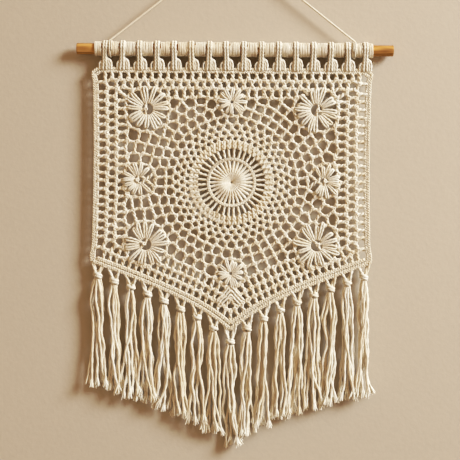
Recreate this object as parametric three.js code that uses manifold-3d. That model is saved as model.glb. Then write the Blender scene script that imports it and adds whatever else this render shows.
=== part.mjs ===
// A crochet wall hanging: a pointed openwork panel looped over a wooden rod, with knotted tassels
// along its lower edge and a cord to hang it by.
// Millimetres, +Z up, the front faces -Y, the origin is where the cord bears on its nail.
import * as THREE from "three";
import { mergeVertices } from "three/addons/utils/BufferGeometryUtils.js";
import Module from "manifold-3d";

const wasm = await Module();
wasm.setup();

// Heights, counted down from the origin
const clearance = 0.3;
const rodDrop = 113;
const headingDrop = 20;
const rodZ = -rodDrop;
const panelTop = rodZ - headingDrop;

// Rod and the yarn on it
const rod = { radius: 6, length: 348, shift: 3, chamfer: 0.7, sides: 20 };
const heading = { loops: 16, pitch: 19.06, shift: 3 };
const loop = { width: 6.6, inner: 6.9, outer: 8.9, foot: 14.2, steps: 8 };
const loopForm = { groove: 0.7, ridge: 0.62, pinch: 0.62 };
const shell = { width: 12, height: 6.6, depth: 4.4, shoulder: 0.96, shoulderHeight: 0.4, neck: 0.55 };
const winding = { inner: 6.85, outer: 8.2, sides: 8, leftEnd: -152, rightEnd: 155 };

// Panel: outline, edging and slow unevenness
const panel = { halfWidth: 153.6, side: 215, point: 75, thickness: 3 };
const edging = { width: 5.5, ridge: 2.6, lift: 0.9, easing: 0.6, pointShare: 1.5 };
const drawnIn = { side: 1.9, top: 0.5, straight: 0.72, bow: 0.12, pull: 0.16, power: 6 };
const drape = { height: 1.5, across: 47, start: 0.8, waves: 1.3 };
const outlineSteps = { top: 2 * heading.loops, side: 6, point: 12 };

// Rows of eyelets inside the edging: distance from the top, side and pointed edges
const border = { pitch: 8.8, pointPitch: 7.6, apart: 0.75, wall: 3.1 };
const borderRows = [
  { top: 10, side: 10.2, point: 11.6, phase: 0.5 },
  { top: 18.6, side: 20, point: 20.6, phase: 0 },
  { top: 27, side: 30.2, point: 29.4, phase: 0.5 },
];

// Rounds of gaps about the medallion, and the net that fills the ground beyond them
const medallion = { drop: 126, rounds: [48.5, 54.5, 60.5, 67.5], count: 40, hub: 42, wall: 3 };
const ground = { first: 76, step: 10.4, rounds: 10, count: 46, more: 3, wall: 2.8, settle: 3 };
const groundRoom = { apart: 7.9, margin: 7, reach: 13 };
const medallionZ = panelTop - medallion.drop;

// Medallion relief: a ring of slots inside a raised rim, and a dished rosette of ribs
const slots = { count: 36, inner: 29.2, outer: 36.2, share: 0.42 };
const rim = { inner: 37.8, ridge: 39.8, outer: 42, lift: 1.4 };
const rosette = [
  { radius: 27.6, lift: 0, rib: 0 },
  { radius: 24.5, lift: 1.7, rib: 0 },
  { radius: 15.5, lift: 0.3, rib: 0.5 },
  { radius: 10, lift: 1.5, rib: 0.3 },
  { radius: 3, lift: -0.4, rib: 0 },
];
const dimple = 0.8;

// Flowers: place, size, open eye and petals
const flowers = [
  { x: -93, drop: 46, radius: 22.5, eye: 5.6, petals: 16 },
  { x: 93, drop: 46, radius: 22.5, eye: 5.6, petals: 16 },
  { x: -94, drop: 195, radius: 22.5, eye: 5.6, petals: 16 },
  { x: 94, drop: 195, radius: 22.5, eye: 5.6, petals: 16 },
  { x: -102, drop: 124, radius: 16.5, eye: 3.8, petals: 14 },
  { x: 102, drop: 124, radius: 16.5, eye: 3.8, petals: 14 },
  { x: 0, drop: 37.5, radius: 13.5, eye: 0, petals: 12 },
  { x: 0, drop: 226, radius: 13.5, eye: 0, petals: 12 },
];
const petal = { lift: 1.7, widest: 0.62, share: 0.76, tip: 1.4, root: 0.9, heart: 2.2 };
const flowerBed = { inset: 4, wall: 2, borderMargin: 3, groundMargin: 4 };

// Gaps large enough to cut, by kind, with the corners that each keeps
const cutCorners = { ground: 6, border1: 4, round4: 4 };
const shortestSide = 1.4;
const eyeCorners = 8;

// Unevenness of handwork
const uneven = { border: 0.35, ground: 0.5, edge: 0.3, step: 12.9898, start: 4.1414, scale: 437.5453 };

// Tassels: legs from the edging, a knot, and strands whose spread changes from knot to end,
// longer towards the sides and most on the right
const tassels = { count: 17, pitch: 18.3 };
const leg = { spread: 5.6, foot: 2, drop: 7.5, sunk: 1, above: 4, radius: 1.7, sides: 4 };
const knot = { height: 9, top: 3.85, middle: 4.8, bottom: 5.2, sides: 6 };
const strands = { columns: 3, rows: 2, ragged: 3, radius: 1.4, depth: 1.5, wave: 0.8, sides: 3 };
const strandLength = { middle: 112, outer: 12.8, right: 4.2 };
const strandSpread = [2.7, 5, 4.4, 6.2];

// Hanging cord, tied on at both ends and bent over the nail
const cord = { radius: 1.1, steps: 40, sides: 8 };
const cordRoute = [
  [-135, -103.55], [-110, -83.95], [-85, -64.25], [-60, -44.55], [-35, -24.85], [-15, -9.15], [-6, -2.05],
  [-3, 0.25], [0, 1.1], [3, 0.25],
  [6, -2.05], [15, -9.15], [35, -24.85], [60, -44.55], [85, -64.25], [110, -83.95], [135, -103.55],
];

const cotton = { color: 0xe6d8c0, roughness: 0.92, metalness: 0 };
const wood = { color: 0xc08e50, roughness: 0.55, metalness: 0 };

// A fixed unevenness between -1 and 1 for the n-th stitch
function unevenness(n) {
  const s = Math.sin(n * uneven.step + uneven.start) * uneven.scale;
  return 2 * (s - Math.floor(s)) - 1;
}

function solidOf(geometry) {
  const bare = geometry.clone();
  bare.deleteAttribute("normal");
  bare.deleteAttribute("uv");
  const merged = mergeVertices(bare);
  const mesh = new wasm.Mesh({
    numProp: 3,
    vertProperties: new Float32Array(merged.attributes.position.array),
    triVerts: new Uint32Array(merged.index.array),
  });
  return new wasm.Manifold(mesh);
}

function meshGeometry(points, faces) {
  const geometry = new THREE.BufferGeometry();
  geometry.setAttribute("position", new THREE.Float32BufferAttribute(points, 3));
  geometry.setIndex(faces);
  geometry.computeVertexNormals();
  return geometry;
}

function geometryOf(solid) {
  const mesh = solid.getMesh();
  return meshGeometry(Array.from(mesh.vertProperties), Array.from(mesh.triVerts));
}

function outlineShape(points) {
  return new THREE.Shape(points.map(([x, y]) => new THREE.Vector2(x, y)));
}

// A slab of an upright outline in X and Z, centred on Y
function uprightSlab(points, depth) {
  const slab = new THREE.ExtrudeGeometry(outlineShape(points), { depth, bevelEnabled: false });
  slab.translate(0, 0, -depth / 2);
  slab.rotateX(Math.PI / 2);
  return solidOf(slab);
}

function ringPoints(x, z, radius, count, turn) {
  return Array.from({ length: count }, (_, i) => {
    const a = (i + turn) / count * Math.PI * 2;
    return [x + radius * Math.cos(a), z + radius * Math.sin(a)];
  });
}

function strandAlong(path, sides, radius, steps) {
  const section = outlineShape(ringPoints(0, 0, radius, sides, 0.5));
  return solidOf(new THREE.ExtrudeGeometry(section, { steps, extrudePath: path, bevelEnabled: false }));
}

// Panel outline

function sideX(z) {
  const down = Math.min(Math.max((panelTop - z) / panel.side, 0), 1);
  return panel.halfWidth - drawnIn.side * Math.sin(Math.PI * down);
}

function lowerEdge(x) {
  const s = 1 - Math.abs(x) / panel.halfWidth;
  const drop = drawnIn.straight * s + drawnIn.bow * s ** 2 + drawnIn.pull * s ** drawnIn.power;
  return panelTop - panel.side - panel.point * drop;
}

function lowerSlope(x) {
  const s = 1 - Math.abs(x) / panel.halfWidth;
  const pull = drawnIn.pull * drawnIn.power * s ** (drawnIn.power - 1);
  return panel.point / panel.halfWidth * (drawnIn.straight + 2 * drawnIn.bow * s + pull);
}

function lowerRow(x, inset) {
  return lowerEdge(x) + inset * Math.hypot(1, lowerSlope(x));
}

// The outline drawn in by an inset, from the left lower corner round by the point
function outline(inset) {
  const points = [];
  const half = panel.halfWidth - inset;
  const low = inset * edging.pointShare;
  const top = panelTop - inset;
  const bottom = lowerRow(half, low);
  for (let i = 0; i < 2 * outlineSteps.point; i++) {
    const x = half * (i / outlineSteps.point - 1);
    points.push([x, lowerRow(x, low)]);
  }
  for (let i = 0; i < outlineSteps.side; i++) {
    const z = bottom + (top - bottom) * i / outlineSteps.side;
    points.push([i ? sideX(z) - inset : half, z]);
  }
  for (let i = 0; i < outlineSteps.top; i++) {
    points.push([half * (1 - 2 * i / outlineSteps.top), top - (i % 2 ? drawnIn.top : 0)]);
  }
  for (let i = 0; i < outlineSteps.side; i++) {
    const z = top - (top - bottom) * i / outlineSteps.side;
    points.push([i ? inset - sideX(z) : -half, z]);
  }
  return points;
}

// Where the gaps lie

function flowerZ(flower) {
  return panelTop - flower.drop;
}

function nearFlower(x, z, margin) {
  return flowers.some((f) => Math.hypot(x - f.x, z - flowerZ(f)) < f.radius + margin);
}

function crowded(seeds, x, z, distance) {
  return seeds.some((s) => Math.hypot(x - s.x, z - s.z) < distance);
}

// Cloth without gaps: the medallion's hub, the flowers and the outer corners
function solidSeeds() {
  const seeds = [];
  const put = ([x, z], wall) => seeds.push({ x, z, kind: "solid", wall });
  ringPoints(0, medallionZ, medallion.hub, medallion.count, 0).forEach((p) => put(p, medallion.wall));
  for (const f of flowers) {
    const bed = ringPoints(f.x, flowerZ(f), f.radius - flowerBed.inset, f.petals, 0.5);
    bed.forEach((p) => put(p, flowerBed.wall));
  }
  const [outer] = borderRows;
  for (const x of [outer.side - panel.halfWidth, panel.halfWidth - outer.side]) {
    put([x, panelTop - outer.top], border.wall);
    put([x, lowerRow(x, outer.point)], border.wall);
  }
  return seeds;
}

function putBorder(seeds, x, z, pitch, kind) {
  if (nearFlower(x, z, flowerBed.borderMargin) || crowded(seeds, x, z, pitch * border.apart)) return;
  const dx = uneven.border * unevenness(2 * seeds.length);
  const dz = uneven.border * unevenness(2 * seeds.length + 1);
  seeds.push({ x: x + dx, z: z + dz, kind, wall: border.wall });
}

function borderSeeds(seeds) {
  const middle = panelTop - panel.side / 2;
  const along = border.pointPitch / Math.hypot(1, lowerSlope(panel.halfWidth / 2));
  borderRows.forEach((row, n) => {
    const half = panel.halfWidth - row.side;
    const reach = (panel.side - row.top) / 2;
    for (let x = row.phase * border.pitch; x < half; x += border.pitch) {
      putBorder(seeds, x, panelTop - row.top, border.pitch, "border" + (n + 1));
      putBorder(seeds, -x, panelTop - row.top, border.pitch, "border" + (n + 1));
    }
    for (let d = row.phase * border.pitch; d < reach; d += border.pitch) {
      for (const z of [middle + d, middle - d]) {
        putBorder(seeds, sideX(z) - row.side, z, border.pitch, "border" + (n + 1));
        putBorder(seeds, row.side - sideX(z), z, border.pitch, "border" + (n + 1));
      }
    }
    for (let x = row.phase * along; x < half; x += along) {
      putBorder(seeds, x, lowerRow(x, row.point), along, "point" + (n + 1));
      putBorder(seeds, -x, lowerRow(x, row.point), along, "point" + (n + 1));
    }
  });
}

function roundSeeds(seeds) {
  medallion.rounds.forEach((radius, round) => {
    for (const [x, z] of ringPoints(0, medallionZ, radius, medallion.count, round % 2 ? 0 : 0.5)) {
      seeds.push({ x, z, kind: "round" + (round + 1), wall: medallion.wall });
    }
  });
}

function insideGround(x, z) {
  const row = borderRows[borderRows.length - 1];
  const margin = groundRoom.margin;
  const low = lowerRow(Math.min(Math.abs(x), panel.halfWidth), row.point + margin);
  return Math.abs(x) < sideX(z) - row.side - margin && z < panelTop - row.top - margin && z > low;
}

function groundSeeds(seeds) {
  for (let round = 0; round < ground.rounds; round++) {
    const radius = ground.first + round * ground.step;
    const count = ground.count + round * ground.more;
    for (const [roundX, roundZ] of ringPoints(0, medallionZ, radius, count, round % 2 ? 0.5 : 0)) {
      const x = roundX + uneven.ground * unevenness(2 * seeds.length);
      const z = roundZ + uneven.ground * unevenness(2 * seeds.length + 1);
      const taken = nearFlower(x, z, flowerBed.groundMargin) || crowded(seeds, x, z, groundRoom.apart);
      if (insideGround(x, z) && !taken) seeds.push({ x, z, kind: "ground", wall: ground.wall });
    }
  }
}

// The part of a polygon on the near side of a line
function clip(polygon, nx, nz, limit) {
  const kept = [];
  polygon.forEach((a, i) => {
    const b = polygon[(i + 1) % polygon.length];
    const da = nx * a[0] + nz * a[1] - limit;
    const db = nx * b[0] + nz * b[1] - limit;
    const t = da / (da - db);
    if (da <= 0) kept.push(a);
    if (da * db < 0) kept.push([a[0] + (b[0] - a[0]) * t, a[1] + (b[1] - a[1]) * t]);
  });
  return kept;
}

// The space nearer to one seed than to any other, drawn in by a share of the strands around it
function cellAround(seed, seeds, share) {
  const { x, z } = seed;
  const { reach } = groundRoom;
  let cell = [[x - reach, z - reach], [x + reach, z - reach], [x + reach, z + reach], [x - reach, z + reach]];
  for (const other of seeds) {
    const dx = other.x - x;
    const dz = other.z - z;
    const far = Math.hypot(dx, dz);
    if (other === seed || far > 2 * reach) continue;
    const wall = share * (seed.wall + other.wall) / 4;
    cell = clip(cell, dx / far, dz / far, (dx * x + dz * z) / far + far / 2 - wall);
  }
  const slope = Math.sign(x) * lowerSlope(x);
  const long = Math.hypot(1, slope);
  const inset = edging.width + share * (1 + uneven.edge * unevenness(x + z));
  cell = clip(cell, slope / long, -1 / long, (slope * x - lowerRow(x, inset * edging.pointShare)) / long);
  cell = clip(cell, 0, 1, panelTop - inset);
  cell = clip(cell, 1, 0, sideX(z) - inset);
  return clip(cell, -1, 0, sideX(z) - inset);
}

function middleOf(polygon) {
  let sx = 0;
  let sz = 0;
  let total = 0;
  polygon.forEach((a, i) => {
    const b = polygon[(i + 1) % polygon.length];
    const cross = a[0] * b[1] - b[0] * a[1];
    sx += (a[0] + b[0]) * cross;
    sz += (a[1] + b[1]) * cross;
    total += 3 * cross;
  });
  return [sx / total, sz / total];
}

function layOutSeeds() {
  const seeds = solidSeeds();
  borderSeeds(seeds);
  roundSeeds(seeds);
  groundSeeds(seeds);
  for (let pass = 0; pass < ground.settle; pass++) {
    const places = seeds.map((s) => (s.kind === "ground" ? middleOf(cellAround(s, seeds, 0)) : [s.x, s.z]));
    seeds.forEach((s, i) => {
      [s.x, s.z] = places[i];
    });
  }
  return seeds;
}

// A gap's outline without its shortest sides
function simplified(polygon, most) {
  const points = polygon.slice();
  for (;;) {
    const lengths = points.map((a, i) => {
      const b = points[(i + 1) % points.length];
      return Math.hypot(a[0] - b[0], a[1] - b[1]);
    });
    const least = Math.min(...lengths);
    if (points.length <= 4 || (least > shortestSide && points.length <= most)) return points;
    const i = lengths.indexOf(least);
    const j = (i + 1) % points.length;
    points[i] = [(points[i][0] + points[j][0]) / 2, (points[i][1] + points[j][1]) / 2];
    points.splice(j, 1);
  }
}

function netGaps() {
  const seeds = layOutSeeds();
  const cut = seeds.filter((s) => cutCorners[s.kind]);
  return cut.map((s) => simplified(cellAround(s, seeds, 1), cutCorners[s.kind]));
}

function eyeGaps() {
  const open = flowers.filter((f) => f.eye > 0);
  return open.map((f) => ringPoints(f.x, flowerZ(f), f.eye, eyeCorners, 0.3));
}

// Corners given by radius and turn from a spoke's own direction
function aboutSpoke(x, z, spoke, corners) {
  return corners.map(([r, turn]) => [x + r * Math.cos(spoke + turn), z + r * Math.sin(spoke + turn)]);
}

function slotGaps() {
  const half = slots.share * Math.PI / slots.count;
  const corners = [[slots.inner, -half], [slots.outer, -half], [slots.outer, half], [slots.inner, half]];
  return Array.from({ length: slots.count }, (_, i) => {
    return aboutSpoke(0, medallionZ, (i + 0.5) / slots.count * Math.PI * 2, corners);
  });
}

function petalOutlines(f) {
  const root = Math.max(f.eye + petal.root, petal.heart);
  const tip = f.radius - petal.tip;
  const wide = root + (tip - root) * petal.widest;
  const half = petal.share * Math.PI / f.petals;
  const corners = [[root, 0], [wide, -half], [tip, 0], [wide, half]];
  return Array.from({ length: f.petals }, (_, i) => {
    return aboutSpoke(f.x, flowerZ(f), i / f.petals * Math.PI * 2, corners);
  });
}

// Panel surface

function drapeAt(x, z) {
  const down = (panelTop - z) / (panel.side + panel.point);
  return drape.height * Math.sin(x / drape.across + drape.start) * Math.sin(Math.PI * drape.waves * down);
}

class Surface {
  points = [];
  faces = [];

  loop(outlinePoints, y) {
    return outlinePoints.map(([x, z]) => this.points.push(x, drapeAt(x, z) + y, z) / 3 - 1);
  }

  at(i) {
    return new THREE.Vector2(this.points[3 * i], this.points[3 * i + 2]);
  }

  leftTurning([a, b, c]) {
    const u = this.at(b).sub(this.at(a));
    return u.cross(this.at(c).sub(this.at(a))) > 0 ? [a, b, c] : [a, c, b];
  }

  angle(a, b, c) {
    const u = this.at(a).sub(this.at(b));
    return u.angleTo(this.at(c).sub(this.at(b)));
  }

  fill(contour, holes, toFront) {
    const flat = [contour, ...holes].flat();
    const holePoints = holes.map((hole) => hole.map((i) => this.at(i)));
    const corners = THREE.ShapeUtils.triangulateShape(contour.map((i) => this.at(i)), holePoints);
    const triangles = corners.map((t) => this.leftTurning(t.map((i) => flat[i])));
    while (this.turnThinSides(triangles));
    this.faces.push(...triangles.map(([a, b, c]) => (toFront ? [a, b, c] : [a, c, b])));
  }

  // Redraws the shared side of two thin triangles across their other corners
  turnThinSides(triangles) {
    const sides = new Map();
    triangles.forEach(([a, b, c], n) => {
      sides.set(a + "," + b, [n, c]).set(b + "," + c, [n, a]).set(c + "," + a, [n, b]);
    });
    const turned = new Set();
    for (const [side, [n, c]] of sides) {
      const [a, b] = side.split(",").map(Number);
      const [m, d] = sides.get(b + "," + a) ?? [n, c];
      if (m === n || turned.has(n) || turned.has(m)) continue;
      if (this.angle(a, c, b) + this.angle(a, d, b) < Math.PI + 0.001) continue;
      triangles[n] = [a, d, c];
      triangles[m] = [d, b, c];
      turned.add(n).add(m);
    }
    return turned.size;
  }

  band(outer, inner) {
    outer.forEach((a, i) => {
      const j = (i + 1) % outer.length;
      this.faces.push([a, outer[j], inner[i]], [outer[j], inner[j], inner[i]]);
    });
  }

  peak(around, apex) {
    around.forEach((a, i) => this.faces.push([a, around[(i + 1) % around.length], apex]));
  }

  geometry() {
    return meshGeometry(this.points, this.faces.flat());
  }
}

function addEdging(surface, front) {
  const edge = surface.loop(outline(0), front + edging.easing);
  const ridge = surface.loop(outline(edging.ridge), front - edging.lift);
  const inner = surface.loop(outline(edging.width), front);
  surface.band(edge, ridge);
  surface.band(ridge, inner);
  return { edge, inner };
}

function medallionRing(surface, radius, y) {
  return surface.loop(ringPoints(0, medallionZ, radius, slots.count, 0), y);
}

function addRosette(surface, front) {
  const rings = rosette.map(({ radius, lift, rib }) => {
    const ring = medallionRing(surface, radius, front - lift);
    ring.forEach((i, n) => {
      surface.points[3 * i + 1] += n % 2 ? -rib : rib;
    });
    return ring;
  });
  rings.slice(1).forEach((ring, i) => surface.band(rings[i], ring));
  const [apex] = surface.loop([[0, medallionZ]], front + dimple);
  surface.peak(rings[rings.length - 1], apex);
  return rings[0];
}

function addRim(surface, front) {
  const outer = medallionRing(surface, rim.outer, front);
  const ridge = medallionRing(surface, rim.ridge, front - rim.lift);
  const inner = medallionRing(surface, rim.inner, front);
  surface.band(outer, ridge);
  surface.band(ridge, inner);
  return { outer, inner };
}

function addPetals(surface, front) {
  return flowers.flatMap(petalOutlines).map((points) => {
    const around = surface.loop(points, front);
    const [apex] = surface.loop([middleOf(points)], front - petal.lift);
    surface.peak(around, apex);
    return around;
  });
}

function makePanel() {
  const surface = new Surface();
  const front = -panel.thickness / 2;
  const back = panel.thickness / 2;
  const { edge, inner } = addEdging(surface, front);
  const centre = addRosette(surface, front);
  const ring = addRim(surface, front);
  const petals = addPetals(surface, front);
  const netAndEyes = [...netGaps(), ...eyeGaps()];
  const openFront = netAndEyes.map((gap) => surface.loop(gap, front));
  const slotFront = slotGaps().map((gap) => surface.loop(gap, front));
  surface.fill(inner, [...openFront, ...petals, ring.outer], true);
  surface.fill(ring.inner, [...slotFront, centre], true);
  const backEdge = surface.loop(outline(0), back);
  const backGaps = [...netAndEyes, ...slotGaps()].map((gap) => surface.loop(gap, back));
  surface.fill(backEdge, backGaps, false);
  surface.band(backEdge, edge);
  [...openFront, ...slotFront].forEach((gap, i) => surface.band(gap, backGaps[i]));
  return surface.geometry();
}

// Rod, windings and loops, each about its own middle on the rod's axis

function turnedAboutX(profile, sides) {
  const geometry = new THREE.LatheGeometry(profile.map(([r, h]) => new THREE.Vector2(r, h)), sides);
  geometry.rotateZ(-Math.PI / 2);
  return geometryOf(solidOf(geometry));
}

function makeRod() {
  const half = rod.length / 2;
  const { radius, chamfer } = rod;
  const profile = [
    [0, -half], [radius - chamfer, -half], [radius, chamfer - half],
    [radius, half - chamfer], [radius - chamfer, half], [0, half],
  ];
  return turnedAboutX(profile, rod.sides);
}

function makeWinding(length) {
  const half = length / 2;
  const { inner, outer } = winding;
  const profile = [[inner, -half], [outer, -half], [outer, half], [inner, half], [inner, -half]];
  return turnedAboutX(profile, winding.sides);
}

// A band of two ridges carried round the rod, drawn together and closed below it
function makeLoopBand() {
  const half = loop.width / 2;
  const ridge = half * loopForm.ridge;
  const section = [[-half, 0], [half, 0], [ridge, 1], [0, loopForm.groove], [-ridge, 1]];
  const points = [];
  const faces = [];
  for (let i = 0; i < loop.steps; i++) {
    const a = (i + 0.5) / loop.steps * Math.PI * 2;
    const low = Math.max(0, -Math.cos(a)) ** 3;
    const narrow = 1 - loopForm.pinch * low;
    const drop = (loop.foot - loop.inner) * low;
    section.forEach(([x, lift], j) => {
      const r = loop.inner + (loop.outer - loop.inner) * lift;
      const k = (j + 1) % section.length;
      const next = (i + 1) % loop.steps;
      const [here, beside] = [i * section.length + j, i * section.length + k];
      const [after, afterBeside] = [next * section.length + j, next * section.length + k];
      points.push(x, r * Math.sin(a) * narrow, r * Math.cos(a) - drop);
      faces.push(here, after, beside, beside, after, afterBeside);
    });
  }
  return solidOf(meshGeometry(points, faces));
}

function makeLoop() {
  const bottom = clearance - headingDrop;
  const half = shell.width / 2;
  const shoulder = bottom + shell.height * shell.shoulderHeight;
  const top = bottom + shell.height;
  const fan = uprightSlab([
    [-half, bottom], [half, bottom], [half * shell.shoulder, shoulder], [half * shell.neck, top],
    [-half * shell.neck, top], [-half * shell.shoulder, shoulder],
  ], shell.depth);
  return geometryOf(makeLoopBand().add(fan));
}

// Tassels

// The panel's lower edge with the clearance below it
function edgeKeepOut() {
  const lower = outline(-clearance).slice(0, 2 * outlineSteps.point + 1);
  const right = lower[lower.length - 1][0];
  return uprightSlab([...lower, [right, panelTop], [-right, panelTop]], 4 * knot.bottom);
}

function makeLeg(side) {
  const head = new THREE.Vector3(side * leg.spread, 0, leg.above);
  const foot = new THREE.Vector3(side * leg.foot, 0, -leg.drop - leg.sunk);
  return strandAlong(new THREE.LineCurve3(head, foot), leg.sides, leg.radius, 1);
}

function makeKnot() {
  const { height, top, middle, bottom } = knot;
  const profile = [[0, -height], [bottom, -height], [middle, -height / 2], [top, 0], [0, 0]];
  const geometry = new THREE.LatheGeometry(profile.map(([r, h]) => new THREE.Vector2(r, h)), knot.sides);
  geometry.rotateX(Math.PI / 2);
  geometry.translate(0, 0, -leg.drop);
  return solidOf(geometry);
}

function longestStrand(x) {
  const out = x / panel.halfWidth;
  return strandLength.middle + strandLength.outer * Math.abs(out) + strandLength.right * out;
}

function makeStrand(tassel, column, row, longest) {
  const n = (tassel * strands.columns + column) * strands.rows + row;
  const across = 2 * column / (strands.columns - 1) - 1;
  const y = (2 * row / (strands.rows - 1) - 1) * strands.depth;
  const top = leg.sunk - leg.drop - knot.height;
  const length = longest - strands.ragged * (1 + unevenness(n));
  const steps = strandSpread.length - 1;
  const points = strandSpread.map((spread, k) => {
    const wave = k ? strands.wave * unevenness(n * strandSpread.length + k) : 0;
    return new THREE.Vector3(across * spread + wave, y, top - length * k / steps);
  });
  return strandAlong(new THREE.CatmullRomCurve3(points), strands.sides, strands.radius, steps);
}

function makeTassel(n, keepOut) {
  const x = (n - (tassels.count - 1) / 2) * tassels.pitch;
  const z = lowerEdge(x);
  let tassel = makeKnot().add(makeLeg(-1)).add(makeLeg(1));
  for (let column = 0; column < strands.columns; column++) {
    for (let row = 0; row < strands.rows; row++) {
      tassel = tassel.add(makeStrand(n, column, row, longestStrand(x)));
    }
  }
  return geometryOf(tassel.translate([x, drapeAt(x, z), z]).subtract(keepOut));
}

// Cord

function makeCord() {
  const route = new THREE.CatmullRomCurve3(cordRoute.map(([x, z]) => new THREE.Vector3(x, 0, z)));
  return geometryOf(strandAlong(route, cord.sides, cord.radius, cord.steps));
}

// Assembly

const hanging = new THREE.Group();
const onRod = new THREE.Group();
onRod.position.z = rodZ;
hanging.add(onRod);

function place(parent, name, geometry, look, x = 0) {
  const mesh = new THREE.Mesh(geometry, new THREE.MeshStandardMaterial(look));
  mesh.name = name;
  mesh.position.x = x;
  parent.add(mesh);
}

function numbered(word, i) {
  return word + "_" + String(i + 1).padStart(2, "0");
}

function loopX(i) {
  return heading.shift + (i - (heading.loops - 1) / 2) * heading.pitch;
}

function placeWindings() {
  const half = loop.width / 2 + clearance;
  for (let i = 0; i <= heading.loops; i++) {
    const from = i ? loopX(i - 1) + half : winding.leftEnd;
    const to = i < heading.loops ? loopX(i) - half : winding.rightEnd;
    place(onRod, numbered("winding", i), makeWinding(to - from), cotton, (from + to) / 2);
  }
}

function placeLoops() {
  const geometry = makeLoop();
  for (let i = 0; i < heading.loops; i++) {
    place(onRod, numbered("loop", i), geometry, cotton, loopX(i));
  }
}

function placeTassels() {
  const keepOut = edgeKeepOut();
  for (let i = 0; i < tassels.count; i++) {
    place(hanging, numbered("tassel", i), makeTassel(i, keepOut), cotton);
  }
}

place(onRod, "rod", makeRod(), wood, rod.shift);
placeWindings();
placeLoops();
place(hanging, "panel", makePanel(), cotton);
placeTassels();
place(hanging, "hanging_cord", makeCord(), cotton);

export default hanging;
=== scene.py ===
import math

import bpy
import numpy as np
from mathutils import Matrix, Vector


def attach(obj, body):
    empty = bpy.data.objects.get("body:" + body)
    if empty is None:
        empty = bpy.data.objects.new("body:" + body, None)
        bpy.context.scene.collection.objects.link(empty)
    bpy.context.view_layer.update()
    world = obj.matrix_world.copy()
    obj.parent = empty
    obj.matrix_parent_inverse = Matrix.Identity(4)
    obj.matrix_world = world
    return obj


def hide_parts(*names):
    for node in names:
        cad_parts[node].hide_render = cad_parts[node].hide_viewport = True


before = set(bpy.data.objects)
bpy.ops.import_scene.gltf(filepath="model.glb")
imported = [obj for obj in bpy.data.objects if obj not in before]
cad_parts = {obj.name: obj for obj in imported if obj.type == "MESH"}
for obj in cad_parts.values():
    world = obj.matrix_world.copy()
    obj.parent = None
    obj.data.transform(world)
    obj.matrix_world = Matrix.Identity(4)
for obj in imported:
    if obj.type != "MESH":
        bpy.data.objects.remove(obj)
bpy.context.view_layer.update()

mm = 0.001
fullTurn = 2 * math.pi
acrossX, acrossY, acrossZ = (1, 0, 0), (0, 1, 0), (0, 0, 1)


def addObject(name, data):
    made = bpy.data.objects.new(name, data)
    bpy.context.scene.collection.objects.link(made)
    return made


# Camera: square on to the panel, a hair of roll
cameraSetup = {
    "lens": 85.0, "sensor": 36.0, "middleX": -1.1, "middleZ": -311.3, "frameWidth": 506.0, "roll": -0.43,
}


def makeCamera(c):
    data = bpy.data.cameras.new("camera")
    data.lens = c["lens"]
    data.sensor_width = c["sensor"]
    distance = c["frameWidth"] * c["lens"] / c["sensor"]
    camera = addObject("camera", data)
    camera.location = (c["middleX"] * mm, -distance * mm, c["middleZ"] * mm)
    camera.rotation_euler = (math.radians(90), math.radians(c["roll"]), 0)
    bpy.context.scene.camera = camera


makeCamera(cameraSetup)
print("camera placed")


# Shader maths as expressions
class Value:
    def __init__(self, look, socket):
        self.look = look
        self.socket = socket

    def maths(self, operation, first, second):
        return self.look.node("ShaderNodeMath", {"operation": operation}, {0: first, 1: second})

    def __add__(self, other):
        return self.maths("ADD", self, other)

    __radd__ = __add__

    def __sub__(self, other):
        return self.maths("SUBTRACT", self, other)

    def __rsub__(self, other):
        return self.maths("SUBTRACT", other, self)

    def __mul__(self, other):
        return self.maths("MULTIPLY", self, other)

    __rmul__ = __mul__

    def cosine(self):
        return self.look.node("ShaderNodeMath", {"operation": "COSINE"}, {0: self})

    def between(self, low, high):
        ends = {1: low, 2: high, 3: 0.0, 4: 1.0}
        return self.look.node("ShaderNodeMapRange", {"clamp": True}, {0: self, **ends})

    def spread(self, low, high):
        return self * (high - low) + low


class Look:
    def __init__(self, name):
        self.material = bpy.data.materials.new(name)
        self.material.use_nodes = True
        self.tree = self.material.node_tree
        self.tree.nodes.clear()

    def node(self, kind, settings, sockets, out=0):
        made = self.tree.nodes.new(kind)
        for key, value in settings.items():
            setattr(made, key, value)
        for key, value in sockets.items():
            if isinstance(value, Value):
                self.tree.links.new(value.socket, made.inputs[key])
            else:
                made.inputs[key].default_value = value
        return Value(self, made.outputs[out])

    def mix(self, factor, first, second):
        return self.node("ShaderNodeMix", {"data_type": "RGBA"}, {0: factor, 6: first, 7: second}, 2)

    def noise(self, place, scale, detail=2.0, rough=0.5):
        sockets = {"Vector": place, "Scale": scale, "Detail": detail, "Roughness": rough}
        return self.node("ShaderNodeTexNoise", {}, sockets)

    def stretched(self, place, scale):
        return self.node("ShaderNodeVectorMath", {"operation": "MULTIPLY"}, {0: place, 1: scale})

    def bump(self, strength, height):
        return self.node("ShaderNodeBump", {}, {"Strength": strength, "Distance": 1.0, "Height": height})

    def place(self):
        return self.node("ShaderNodeTexCoord", {}, {}, 3)

    def parts(self, vector):
        split = self.node("ShaderNodeSeparateXYZ", {}, {0: vector})
        return [Value(self, socket) for socket in split.socket.node.outputs]

    def finish(self, surface):
        output = self.tree.nodes.new("ShaderNodeOutputMaterial")
        self.tree.links.new(surface.socket, output.inputs["Surface"])
        return self.material


def srgb(r, g, b):
    return (*(((c / 255 + 0.055) / 1.055) ** 2.4 for c in (r, g, b)), 1.0)


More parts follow.
